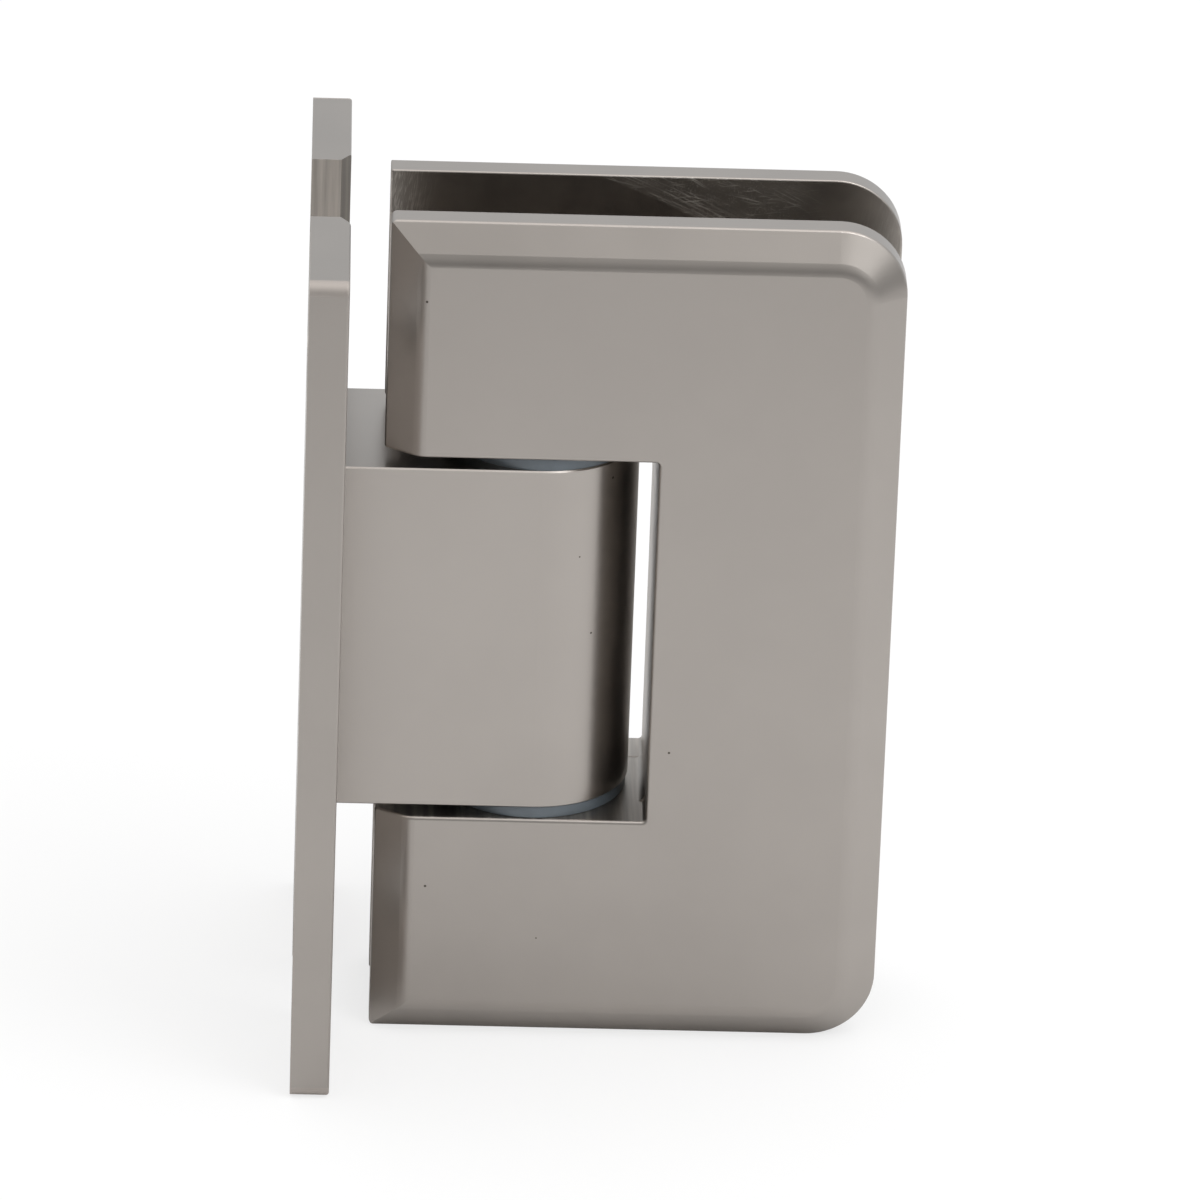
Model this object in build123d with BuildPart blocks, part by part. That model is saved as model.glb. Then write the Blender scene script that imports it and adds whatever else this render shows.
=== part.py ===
from build123d import *

import os

# Shower door hinge, wall to glass, for a frameless glass door.
# An H-shaped wall plate carries a round-nosed pivot block. A two-plate glass clamp
# with bevelled faces reaches round the block and turns with a steel pin. A sprung bar
# in the block rests on flats of the pin, and so finds the closed and open positions.
#
# Frame: X points out of the wall into the room, Y runs along the wall and Z up the
# pin. The origin is the middle of the wall plate's back face. Sizes are millimetres.

# Wall plate
PLATE_HEIGHT = 90.0
PLATE_WIDTH = 50.0
PLATE_THICKNESS = 4.0
PLATE_CORNER_R = 1.2
PLATE_EDGE_BREAK = 0.3
NOTCH_WIDTH = 15.0
NOTCH_DEPTH = 20.0
NOTCH_CORNER_R = 3.0
NOTCH_BEVEL_WIDTH = 1.6
NOTCH_BEVEL_DEPTH = 1.0
WALL_SCREW_HOLE_R = 2.75
WALL_SCREW_SINK_R = 5.0
WALL_SCREW_END_DISTANCE = 13.0

# Pivot block
BLOCK_REACH = 20.0
BLOCK_WIDTH = 20.0
BLOCK_HEIGHT = 37.6
BLOCK_EDGE_BREAK = 0.15
BLOCK_SCREW_R = 2.5
BLOCK_SCREW_HEAD_R = 4.8
BLOCK_SCREW_LENGTH = 15.0
BLOCK_SCREW_EDGE_DISTANCE = 5.3

# Pin, bushes and washers
PIN_R = 5.0
PIN_FLAT = 4.4
PIN_GRIP = 10.0
PIN_CHAMFER = 0.6
RUNNING_GAP = 0.05
SEAT_GAP = 0.02
BUSH_WALL = 1.0
BUSH_LENGTH = 9.0
WASHER_THICKNESS = 1.2
WASHER_INSET = 0.2
AXIAL_PLAY = 0.05

# Detent bar and its springs
BAR_THICKNESS = 4.6
BAR_WIDTH = 8.8
BAR_HEIGHT = 16.4
BAR_CHAMFER = 0.4
BAR_SLIDE_GAP = 0.08
SPRING_COUNT = 3
SPRING_SPACING = 5.2
SPRING_COIL_R = 1.75
SPRING_WIRE_R = 0.35
SPRING_TURNS = 5
SPRING_POCKET_DEPTH = 2.0
SPRING_POCKET_GAP = 0.2

# Glass clamp
CLAMP_GAP = 4.0
CLAMP_WIDTH = 52.0
CLAMP_HEIGHT = 90.0
CLAMP_THICKNESS = 5.0
CLAMP_CORNER_R = 7.0
WALL_END_CORNER_R = 0.7
REAR_END_CORNER_R = 0.25
CLAMP_SLOT = 10.4
CLAMP_EDGE_R = 0.2
BEVEL_WIDTH = 3.4
BEVEL_DEPTH = 2.3
BEVEL_SOFT_R = 2.4
FOLD_R = 0.35
NOSE_GAP = 1.7
CUT_CORNER_R = 0.4
POCKET_CORNER_R = 0.8
CUT_EDGE_BREAK = 0.4
BOSS_INSET = 1.5
BOSS_ARM = 13.0
BOSS_WEB = 4.0
CLAMP_SCREW_R = 3.0
CLAMP_SCREW_HEAD_R = 6.0
CLAMP_SCREW_LENGTH = 15.0
CLAMP_SCREW_SETBACK = 5.8
PEG_R = 1.5
PEG_HEIGHT = 1.8
PEG_SETBACK = 5.0
THREAD_GAP = 0.05
HOLE_END_GAP = 0.5
SOCKET_SHARE = 0.4
SOCKET_DEPTH_SHARE = 0.55

# Places that follow from the sizes
pivot_x = PLATE_THICKNESS + BLOCK_REACH
nose_r = BLOCK_WIDTH / 2
leg_centre = (PLATE_WIDTH + NOTCH_WIDTH) / 4
wall_screw_z = PLATE_HEIGHT / 2 - WALL_SCREW_END_DISTANCE
block_screw_z = BLOCK_HEIGHT / 2 - BLOCK_SCREW_EDGE_DISTANCE
bush_r = PIN_R + RUNNING_GAP + BUSH_WALL
cut_half = BLOCK_HEIGHT / 2 + WASHER_THICKNESS + AXIAL_PLAY
cut_right = pivot_x + nose_r + NOSE_GAP
clamp_left = PLATE_THICKNESS + CLAMP_GAP
clamp_middle = clamp_left + CLAMP_WIDTH / 2
slot_half = CLAMP_SLOT / 2
clamp_face = slot_half + CLAMP_THICKNESS
pin_half = cut_half + PIN_GRIP
screw_x = cut_right + CLAMP_SCREW_SETBACK
screw_z = cut_half + BOSS_ARM / 2
bar_front = pivot_x - PIN_R - RUNNING_GAP
bar_back = bar_front - BAR_THICKNESS


def facing(x, y, z, direction, along):
    """Plane at a point, with its normal and its first axis given."""
    return Plane(origin=(x, y, z), x_dir=along, z_dir=direction)


room_face = facing(PLATE_THICKNESS, 0, 0, (1, 0, 0), (0, 1, 0))
wall_face = facing(0, 0, 0, (-1, 0, 0), (0, 1, 0))
boss_face = facing(0, slot_half, 0, (0, 1, 0), (1, 0, 0))
back_face = facing(0, clamp_face, 0, (0, 1, 0), (1, 0, 0))
front_inner_face = Plane.XZ.offset(slot_half)
back_inner_face = Plane.XZ.offset(-slot_half)


def flat_head_screw(radius, head_radius, length):
    """Flat-head socket screw on the Z axis, its head flush with the XY plane."""
    head_height = head_radius - radius
    with BuildPart() as screw:
        with BuildSketch(Plane.XZ):
            with BuildLine():
                Polyline(
                    (0, 0),
                    (head_radius, 0),
                    (radius, -head_height),
                    (radius, -length + radius / 4),
                    (radius * 3 / 4, -length),
                    (0, -length),
                    close=True,
                )
            make_face()
        revolve(axis=Axis.Z)
        with BuildSketch(Plane.XY):
            RegularPolygon(head_radius * SOCKET_SHARE, 6, major_radius=False)
        extrude(amount=-head_height * SOCKET_DEPTH_SHARE - radius / 2, mode=Mode.SUBTRACT)
    return screw.part


# H-shaped wall plate: a milled plate with a notch in each end, whose room-side edge
# has a wide bevel, four countersunk holes for the wall screws and two in its back for
# the screws that hold the block
with BuildPart() as wall_plate:
    with BuildSketch(Plane.YZ) as plate_outline:
        Rectangle(PLATE_WIDTH, PLATE_HEIGHT)
        corners = plate_outline.vertices()
        fillet(corners, PLATE_CORNER_R)
        with GridLocations(0, PLATE_HEIGHT, 1, 2):
            Rectangle(NOTCH_WIDTH, 2 * NOTCH_DEPTH, mode=Mode.SUBTRACT)
        notch_roots = plate_outline.vertices().filter_by(
            lambda v: abs(v.Y) < PLATE_HEIGHT / 2 - NOTCH_DEPTH / 2 and abs(v.X) < NOTCH_WIDTH
        )
        fillet(notch_roots, NOTCH_CORNER_R)
    extrude(amount=PLATE_THICKNESS)
    room_side = wall_plate.faces().sort_by(Axis.X)[-1]
    notch_edges = room_side.edges().filter_by(lambda e: abs(e.center().Y) < NOTCH_WIDTH / 2 + SEAT_GAP)
    chamfer(notch_edges, length=NOTCH_BEVEL_WIDTH, length2=NOTCH_BEVEL_DEPTH, reference=room_side)
    room_side = wall_plate.faces().sort_by(Axis.X)[-1]
    bevelled_half = NOTCH_WIDTH / 2 + NOTCH_BEVEL_WIDTH + SEAT_GAP
    fillet(room_side.edges().filter_by(lambda e: abs(e.center().Y) > bevelled_half), PLATE_EDGE_BREAK)
    with Locations(room_face):
        with GridLocations(2 * leg_centre, 2 * wall_screw_z, 2, 2):
            CounterSinkHole(WALL_SCREW_HOLE_R, WALL_SCREW_SINK_R, counter_sink_angle=90)
    with Locations(wall_face):
        with GridLocations(0, 2 * block_screw_z, 1, 2):
            CounterSinkHole(BLOCK_SCREW_R + THREAD_GAP, BLOCK_SCREW_HEAD_R + THREAD_GAP, counter_sink_angle=90)
wall_plate.part.label = "wall_plate"

# Pivot block: a block with a full round nose about the pin, bored for the bushes, with
# a pocket for the detent bar that is open towards the wall plate
with BuildPart() as pivot_block:
    with BuildSketch(Plane.XY.offset(-BLOCK_HEIGHT / 2)):
        with Locations((PLATE_THICKNESS, 0)):
            Rectangle(BLOCK_REACH, BLOCK_WIDTH, align=(Align.MIN, Align.CENTER))
        with Locations((pivot_x, 0)):
            Circle(nose_r)
    extrude(amount=BLOCK_HEIGHT)
    rims = pivot_block.edges().group_by(Axis.Z)
    free_edges = (rims[0] + rims[-1]).filter_by(lambda e: e.center().X > PLATE_THICKNESS + SEAT_GAP)
    chamfer(free_edges, length=BLOCK_EDGE_BREAK)
    with Locations((pivot_x, 0, BLOCK_HEIGHT / 2)):
        Hole(bush_r + SEAT_GAP)
    with BuildSketch(room_face):
        Rectangle(BAR_WIDTH + 2 * BAR_SLIDE_GAP, BAR_HEIGHT + 2 * BAR_SLIDE_GAP)
    extrude(amount=BLOCK_REACH, mode=Mode.SUBTRACT)
    with BuildSketch(room_face):
        with GridLocations(0, 2 * block_screw_z, 1, 2):
            Circle(BLOCK_SCREW_R + THREAD_GAP)
    extrude(amount=BLOCK_SCREW_LENGTH - PLATE_THICKNESS + HOLE_END_GAP, mode=Mode.SUBTRACT)
pivot_block.part.label = "pivot_block"

# Two flat-head screws from the back of the wall plate into the block
block_screw = flat_head_screw(BLOCK_SCREW_R, BLOCK_SCREW_HEAD_R, BLOCK_SCREW_LENGTH)
with BuildPart() as block_screws:
    with Locations(wall_face):
        with GridLocations(0, 2 * block_screw_z, 1, 2):
            add(block_screw)
block_screws.part.label = "block_screws"


def ring(label, low, height, outer, inner):
    """Plain ring about the pin, from one height up."""
    with BuildPart() as body:
        with BuildSketch(Plane.XY.offset(low)):
            with Locations((pivot_x, 0)):
                Circle(outer)
                Circle(inner, mode=Mode.SUBTRACT)
        extrude(amount=height)
    body.part.label = label
    return body.part


# Plain bushes in the two ends of the bore, and the thin washers that carry the leaf
pin_bore_r = PIN_R + RUNNING_GAP
washer_r = nose_r - WASHER_INSET
rings = [
    ring("upper_bush", BLOCK_HEIGHT / 2 - BUSH_LENGTH, BUSH_LENGTH, bush_r, pin_bore_r),
    ring("lower_bush", -BLOCK_HEIGHT / 2, BUSH_LENGTH, bush_r, pin_bore_r),
    ring("upper_washer", BLOCK_HEIGHT / 2, WASHER_THICKNESS, washer_r, pin_bore_r),
    ring("lower_washer", -BLOCK_HEIGHT / 2 - WASHER_THICKNESS, WASHER_THICKNESS, washer_r, pin_bore_r),
]

# Detent bar: it slides in the block's pocket, its front face towards the pin and its
# back drilled for the springs. It is drawn where the pin's round part holds it back.
spring_heights = [SPRING_SPACING * (i - (SPRING_COUNT - 1) / 2) for i in range(SPRING_COUNT)]
spring_pocket_r = SPRING_COIL_R + SPRING_WIRE_R + SPRING_POCKET_GAP
with BuildPart() as detent_bar:
    with BuildSketch(facing(bar_back, 0, 0, (1, 0, 0), (0, 1, 0))):
        Rectangle(BAR_WIDTH, BAR_HEIGHT)
    extrude(amount=BAR_THICKNESS)
    chamfer(detent_bar.faces().sort_by(Axis.X)[-1].edges(), length=BAR_CHAMFER)
    with BuildSketch(facing(bar_back, 0, 0, (1, 0, 0), (0, 1, 0))):
        with Locations([(0, z) for z in spring_heights]):
            Circle(spring_pocket_r)
    extrude(amount=SPRING_POCKET_DEPTH, mode=Mode.SUBTRACT)
detent_bar.part.label = "detent_bar"

# Coil springs between the wall plate and the bottoms of the bar's pockets
spring_length = bar_back + SPRING_POCKET_DEPTH - PLATE_THICKNESS
coil_length = spring_length - 2 * SPRING_WIRE_R
springs = []
for i, z in enumerate(spring_heights):
    with BuildPart() as spring:
        with BuildLine() as coil:
            Helix(
                pitch=coil_length / SPRING_TURNS,
                height=coil_length,
                radius=SPRING_COIL_R,
                center=(PLATE_THICKNESS + SPRING_WIRE_R, 0, z),
                direction=(1, 0, 0),
            )
        with BuildSketch(Plane(origin=coil.line @ 0, z_dir=coil.line % 0)):
            Circle(SPRING_WIRE_R)
        sweep(is_frenet=True)
    spring.part.label = "detent_spring_%d" % (i + 1)
    springs.append(spring.part)

# Pin: round where the bushes hold it, four flats for the detent bar in the middle and
# two flats on each end, which key it in the clamp
flats_half = BAR_HEIGHT / 2 + BAR_SLIDE_GAP
with BuildPart() as pivot_pin:
    with BuildSketch(Plane.XY.offset(-pin_half)):
        with Locations((pivot_x, 0)):
            Circle(PIN_R)
    extrude(amount=2 * pin_half)
    chamfer(pivot_pin.edges().group_by(Axis.Z)[0], length=PIN_CHAMFER)
    chamfer(pivot_pin.edges().group_by(Axis.Z)[-1], length=PIN_CHAMFER)
    with BuildSketch(Plane.XY.offset(-flats_half)):
        with Locations((pivot_x, 0)):
            Circle(PIN_R + SEAT_GAP)
            Rectangle(2 * PIN_FLAT, 2 * PIN_FLAT, mode=Mode.SUBTRACT)
    extrude(amount=2 * flats_half, mode=Mode.SUBTRACT)
    with BuildSketch(Plane.XY.offset(cut_half), Plane.XY.offset(-pin_half)):
        with Locations((pivot_x, 0)):
            Circle(PIN_R + SEAT_GAP)
            Rectangle(2 * PIN_FLAT, 3 * PIN_R, mode=Mode.SUBTRACT)
    extrude(amount=PIN_GRIP, mode=Mode.SUBTRACT)
pivot_pin.part.label = "pivot_pin"

# Outline of a clamp plate: square where it meets the block, rounded at the glass end
with BuildSketch() as clamp_outline:
    with Locations((clamp_middle, 0)):
        Rectangle(CLAMP_WIDTH, CLAMP_HEIGHT)
    fillet(clamp_outline.vertices().group_by(Axis.X)[-1], CLAMP_CORNER_R)


def trimmed_outline(corner_r):
    """The same outline with the wall end's corners eased, to trim a bevelled plate to."""
    with BuildSketch() as outline:
        add(clamp_outline.sketch)
        fillet(outline.vertices().group_by(Axis.X)[0], corner_r)
    return outline.sketch


def cut_outline(corner_r):
    """Outline of the cut-out round the block, open towards the wall."""
    with BuildSketch() as outline:
        with Locations((cut_right, 0)):
            Rectangle(cut_right, 2 * cut_half, align=(Align.MAX, Align.CENTER))
        fillet(outline.vertices().group_by(Axis.X)[-1], corner_r)
    return outline.sketch


# Raised boss that goes round the cut-out and carries the pin and the clamp screws
boss_half = cut_half + BOSS_ARM
with BuildSketch() as boss_outline:
    with Locations((clamp_left + BOSS_INSET, 0)):
        Rectangle(screw_x - clamp_left - BOSS_INSET, 2 * boss_half, align=(Align.MIN, Align.CENTER))
    with GridLocations(2 * screw_x, 2 * screw_z, 2, 2):
        Circle(BOSS_ARM / 2)
    with Locations((cut_right + BOSS_WEB, 0)):
        Rectangle(screw_x, 2 * cut_half, align=(Align.MIN, Align.CENTER), mode=Mode.SUBTRACT)
    with Locations((clamp_left, 0)):
        Rectangle(2 * screw_x, 2 * boss_half, align=(Align.MIN, Align.CENTER), mode=Mode.INTERSECT)

# Groove that the ends of the pin lie in, open towards the back plate
with BuildSketch() as pin_groove:
    with Locations((pivot_x, 0)):
        Circle(PIN_R + SEAT_GAP)
        Rectangle(2 * (PIN_FLAT + SEAT_GAP), 2 * PIN_R + 2 * SEAT_GAP, mode=Mode.INTERSECT)
        Rectangle(2 * (PIN_FLAT + SEAT_GAP), slot_half, align=(Align.CENTER, Align.MIN))


def bevel_rim(plate, side):
    """Cuts the wide bevel round a clamp plate's outer face and softens its two edges."""
    face = plate.faces().sort_by(Axis.Y)[side]
    chamfer(face.edges(), length=BEVEL_WIDTH, length2=BEVEL_DEPTH, reference=face)
    fillet(plate.faces().sort_by(Axis.Y)[side].edges(), BEVEL_SOFT_R)
    fold = clamp_face - BEVEL_DEPTH
    fillet(plate.edges().filter_by(lambda e: abs(abs(e.center().Y) - fold) < SEAT_GAP), FOLD_R)


def cut_rim(part, side):
    """Outer edges of the cut-out in a clamp plate, on one side of the pin."""
    fold = clamp_face - BEVEL_DEPTH
    inside = part.edges().filter_by(lambda e: side * e.center().Y > fold and e.center().X < cut_right + SEAT_GAP)
    return inside.filter_by(lambda e: abs(e.center().Z) < cut_half + SEAT_GAP)


def slot_mouth(part, side):
    """Upright edges of a clamp plate beside the glass slot, at the wall end."""
    upright = part.edges().filter_by(Axis.Z)
    at_wall = upright.filter_by(lambda e: abs(e.center().X - clamp_left) < SEAT_GAP)
    return at_wall.filter_by(lambda e: abs(side * e.center().Y - slot_half) < SEAT_GAP)


# Front clamp plate: bevelled all round, with the boss, pin groove, blind tapped holes
# and two locating pegs on its inner side
peg_places = [(clamp_left + PEG_SETBACK, z) for z in (-screw_z, screw_z)]
with BuildPart() as front_clamp_plate:
    with BuildSketch(front_inner_face):
        add(clamp_outline.sketch)
    extrude(amount=CLAMP_THICKNESS)
    bevel_rim(front_clamp_plate, 0)
    with BuildSketch(front_inner_face):
        add(trimmed_outline(WALL_END_CORNER_R))
    extrude(amount=CLAMP_THICKNESS, mode=Mode.INTERSECT)
    with BuildSketch(front_inner_face):
        add(boss_outline.sketch)
    extrude(amount=-CLAMP_SLOT)
    with BuildSketch(front_inner_face):
        add(cut_outline(CUT_CORNER_R))
    extrude(amount=CLAMP_THICKNESS, mode=Mode.SUBTRACT)
    with BuildSketch(front_inner_face):
        add(cut_outline(POCKET_CORNER_R))
    extrude(amount=-CLAMP_SLOT, mode=Mode.SUBTRACT)
    with BuildSketch(Plane.XY.offset(-pin_half - SEAT_GAP)):
        add(pin_groove.sketch)
    extrude(amount=2 * (pin_half + SEAT_GAP), mode=Mode.SUBTRACT)
    with BuildSketch(boss_face):
        with Locations([(screw_x, -screw_z), (screw_x, screw_z)]):
            Circle(CLAMP_SCREW_R + THREAD_GAP)
    extrude(amount=CLAMP_THICKNESS - CLAMP_SCREW_LENGTH - HOLE_END_GAP, mode=Mode.SUBTRACT)
    with BuildSketch(boss_face):
        with Locations(peg_places):
            Circle(PEG_R)
    extrude(amount=PEG_HEIGHT)
    fillet(slot_mouth(front_clamp_plate, -1), CLAMP_EDGE_R)
    fillet(cut_rim(front_clamp_plate, -1), CUT_EDGE_BREAK)
front_clamp_plate.part.label = "front_clamp_plate"

# Back clamp plate: the same outline and bevel, flat inside, with countersunk holes for
# the clamp screws and two blind holes for the pegs
with BuildPart() as rear_clamp_plate:
    with BuildSketch(back_inner_face):
        add(clamp_outline.sketch)
    extrude(amount=-CLAMP_THICKNESS)
    bevel_rim(rear_clamp_plate, -1)
    with BuildSketch(back_inner_face):
        add(trimmed_outline(REAR_END_CORNER_R))
    extrude(amount=-CLAMP_THICKNESS, mode=Mode.INTERSECT)
    with BuildSketch(back_inner_face):
        add(cut_outline(CUT_CORNER_R))
    extrude(amount=-CLAMP_THICKNESS, mode=Mode.SUBTRACT)
    with Locations(back_face):
        with Locations((screw_x, -screw_z), (screw_x, screw_z)):
            CounterSinkHole(CLAMP_SCREW_R + THREAD_GAP, CLAMP_SCREW_HEAD_R + THREAD_GAP, counter_sink_angle=90)
    with BuildSketch(boss_face):
        with Locations(peg_places):
            Circle(PEG_R + THREAD_GAP)
    extrude(amount=PEG_HEIGHT + THREAD_GAP, mode=Mode.SUBTRACT)
    fillet(slot_mouth(rear_clamp_plate, 1), CLAMP_EDGE_R)
    fillet(cut_rim(rear_clamp_plate, 1), CUT_EDGE_BREAK)
rear_clamp_plate.part.label = "rear_clamp_plate"

# Two flat-head screws that pull the plates together on the glass
clamp_screw = flat_head_screw(CLAMP_SCREW_R, CLAMP_SCREW_HEAD_R, CLAMP_SCREW_LENGTH)
with BuildPart() as clamp_screws:
    with Locations(back_face):
        with Locations((screw_x, -screw_z), (screw_x, screw_z)):
            add(clamp_screw)
clamp_screws.part.label = "clamp_screws"

os.makedirs("parts", exist_ok=True)
pieces = [
    wall_plate.part,
    pivot_block.part,
    block_screws.part,
    detent_bar.part,
    pivot_pin.part,
    front_clamp_plate.part,
    rear_clamp_plate.part,
    clamp_screws.part,
]
for piece in pieces + rings + springs:
    export_step(piece, "parts/%s.step" % piece.label)
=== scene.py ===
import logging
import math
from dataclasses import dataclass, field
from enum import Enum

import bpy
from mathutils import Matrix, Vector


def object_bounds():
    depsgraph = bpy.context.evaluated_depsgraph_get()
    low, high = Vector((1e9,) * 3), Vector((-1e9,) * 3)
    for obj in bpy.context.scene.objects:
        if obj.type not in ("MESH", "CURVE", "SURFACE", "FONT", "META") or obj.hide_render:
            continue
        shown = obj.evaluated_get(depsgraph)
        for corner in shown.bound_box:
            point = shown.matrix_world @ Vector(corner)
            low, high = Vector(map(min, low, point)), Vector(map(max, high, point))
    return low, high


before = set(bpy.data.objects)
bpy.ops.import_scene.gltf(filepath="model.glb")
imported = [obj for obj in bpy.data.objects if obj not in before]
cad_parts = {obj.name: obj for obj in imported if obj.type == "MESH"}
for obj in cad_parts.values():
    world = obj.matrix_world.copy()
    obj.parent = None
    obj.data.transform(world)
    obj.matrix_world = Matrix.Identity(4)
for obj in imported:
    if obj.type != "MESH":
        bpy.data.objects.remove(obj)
solid_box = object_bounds()

# Looks of a wall-to-glass shower door hinge in satin nickel.
#
# The solids come packed, in metres: X out of the wall, Y along it, Z up the pin. This
# script gives every piece its finish and sets up the studio in which the hinge is shown.
# Inside the finishes, lengths are in millimetres of the piece's own coordinates, and
# relief is in micrometres.

LOG = logging.getLogger("shower_hinge")

PER_METRE = 1000.0
MICROMETRE = 1e-6
PICTURE_PX = 1200
SENSOR_MM = 36.0
# How far a zone's box reaches past the faces that it takes in, in millimetres.
EDGE = 0.04
# How much of a face's direction lies along the asked axes if it counts as facing them.
FACING_SHARE = 0.7
# How far the table top lies below the hinge's lowest faces, in metres.
FLOOR_GAP = 2e-5
# Power of a square metre of lamp whose face looks plain white, in watts.
WHITE_LAMP_POWER = 4.0

Colour = tuple[float, float, float]
Triple = tuple[float, float, float]
Span = tuple[float, float]
Socket = bpy.types.NodeSocket

WHITE: Colour = (1.0, 1.0, 1.0)


class Tone(Enum):
    """Colours of the hinge's metals, plastics and dust, linear."""

    NICKEL = (0.370, 0.341, 0.317)
    PLATE_NICKEL = (0.348, 0.321, 0.298)
    # Lighter nickel on the wall plate's room side and rims: painted light, a painted highlight on
    # those faces.
    RUBBED_NICKEL = (0.46, 0.422, 0.394)
    # Lighter nickel on the notch walls: painted light standing in for the light they catch from
    # above.
    MILLED_NICKEL = (0.48, 0.442, 0.405)
    CUT_NICKEL = (0.385, 0.357, 0.33)
    # Darker nickel on the notch bevels: painted shade.
    DULL_NICKEL = (0.21, 0.19, 0.168)
    RAW_NICKEL = (0.36, 0.33, 0.302)
    STEEL = (0.44, 0.435, 0.425)
    WIRE = (0.33, 0.325, 0.32)
    NYLON = (0.118, 0.141, 0.162)
    ACETAL = (0.58, 0.57, 0.53)
    BLACK_ACETAL = (0.018, 0.018, 0.018)
    DUST = (0.62, 0.60, 0.56)
    PIT = (0.06, 0.05, 0.042)


class Axis(Enum):
    """The frame's axes."""

    X = 0
    Y = 1
    Z = 2


def rgba(colour: Colour, times: float = 1.0) -> tuple[float, float, float, float]:
    """Gives a colour, times a factor, with a full alpha."""
    return (colour[0] * times, colour[1] * times, colour[2] * times, 1.0)


@dataclass
class NodeSheet:
    """A node tree with short ways to add and join nodes.

    Args:
        tree: the material's, group's or world's node tree.
    """

    tree: bpy.types.NodeTree

    def add(self, kind: str, **settings: object) -> bpy.types.Node:
        """Adds one node.

        Args:
            kind: the node's type name.
            settings: properties to set on the node.

        Returns:
            The new node.
        """
        node = self.tree.nodes.new(kind)
        for name, value in settings.items():
            setattr(node, name, value)
        return node

    def join(self, source: Socket, target: Socket) -> None:
        """Links an output to an input."""
        self.tree.links.new(source, target)

    def feed(self, target: Socket, value: object) -> None:
        """Links a socket into an input, or sets the input to a plain value."""
        if isinstance(value, bpy.types.NodeSocket):
            self.join(value, target)
        else:
            target.default_value = value

    def math(
        self, operation: str, first: object, second: object = 0.0, clamp: bool = False
    ) -> Socket:
        """Adds a Math node.

        Args:
            operation: the name of the operation.
            first: its first value, a number or a socket.
            second: its second value.
            clamp: True to keep the result between 0 and 1.

        Returns:
            The node's output.
        """
        node = self.add("ShaderNodeMath", operation=operation, use_clamp=clamp)
        self.feed(node.inputs[0], first)
        self.feed(node.inputs[1], second)
        return node.outputs[0]

    def chain(self, operation: str, values: tuple[object, ...]) -> Socket:
        """Takes several values through one operation, from the first to the last.

        Args:
            operation: the name of the operation.
            values: numbers or sockets.

        Returns:
            The result.
        """
        result = values[0]
        for value in values[1:]:
            result = self.math(operation, result, value)
        return result

    def times(self, *values: object) -> Socket:
        """Multiplies values."""
        return self.chain("MULTIPLY", values)

    def plus(self, *values: object) -> Socket:
        """Adds values."""
        return self.chain("ADD", values)

    def most(self, *values: object) -> Socket:
        """Gives the largest of some values."""
        return self.chain("MAXIMUM", values)

    def minus(self, first: object, second: object) -> Socket:
        """Takes the second value from the first."""
        return self.math("SUBTRACT", first, second)

    def radius(self, across: Socket, up: Socket) -> Socket:
        """Gives the distance from the middle to a point at two offsets from it."""
        return self.math("SQRT", self.plus(self.times(across, across), self.times(up, up)))

    def step(self, value: object, low: object, high: object) -> Socket:
        """Rises smoothly from 0 at one value to 1 at another.

        Args:
            value: the value to look at.
            low: where the result is 0.
            high: where it is 1.

        Returns:
            The step.
        """
        node = self.add("ShaderNodeMapRange", interpolation_type="SMOOTHSTEP", clamp=True)
        self.feed(node.inputs["Value"], value)
        self.feed(node.inputs["From Min"], low)
        self.feed(node.inputs["From Max"], high)
        return node.outputs["Result"]

    def spread(self, amount: object, low: object, high: object) -> Socket:
        """Gives a value between two others.

        Args:
            amount: 0 for the first, 1 for the second.
            low: first value.
            high: second value.

        Returns:
            The value between them.
        """
        node = self.add("ShaderNodeMix", data_type="FLOAT")
        self.feed(node.inputs[0], amount)
        self.feed(node.inputs[2], low)
        self.feed(node.inputs[3], high)
        return node.outputs[0]

    def mix(self, amount: object, first: object, second: object) -> Socket:
        """Mixes two colours.

        Args:
            amount: share of the second colour.
            first: colour or socket.
            second: colour or socket.

        Returns:
            The mixed colour.
        """
        node = self.add("ShaderNodeMix", data_type="RGBA")
        self.feed(node.inputs[0], amount)
        self.feed(node.inputs[6], first)
        self.feed(node.inputs[7], second)
        return node.outputs[2]

    def shade(self, amount: object, tone: Tone, low: float, high: float) -> Socket:
        """Gives a tone between a darker and a paler strength of it.

        Args:
            amount: 0 for the darker, 1 for the paler.
            tone: the tone.
            low: factor of the darker.
            high: factor of the paler.

        Returns:
            The colour.
        """
        return self.mix(amount, rgba(tone.value, low), rgba(tone.value, high))

    def place(
        self, scale: Triple = (1.0, 1.0, 1.0), turn: Triple = (0.0, 0.0, 0.0)
    ) -> Socket:
        """Gives the piece's own coordinates in millimetres, turned and then scaled.

        Args:
            scale: factor along each axis.
            turn: angles about each axis, in degrees.

        Returns:
            The coordinates.
        """
        where = self.add("ShaderNodeTexCoord")
        mapping = self.add("ShaderNodeMapping", vector_type="TEXTURE")
        mapping.inputs["Scale"].default_value = tuple(1.0 / (PER_METRE * s) for s in scale)
        mapping.inputs["Rotation"].default_value = tuple(math.radians(a) for a in turn)
        self.join(where.outputs["Object"], mapping.inputs["Vector"])
        return mapping.outputs["Vector"]

    def parts(self, vector: Socket) -> tuple[Socket, Socket, Socket]:
        """Splits a vector into its X, Y and Z."""
        split = self.add("ShaderNodeSeparateXYZ")
        self.join(vector, split.inputs[0])
        return (split.outputs[0], split.outputs[1], split.outputs[2])

    def vector(self, x: object, y: object, z: object) -> Socket:
        """Makes a vector of three values."""
        whole = self.add("ShaderNodeCombineXYZ")
        for socket, value in zip(whole.inputs, (x, y, z)):
            self.feed(socket, value)
        return whole.outputs[0]

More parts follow.
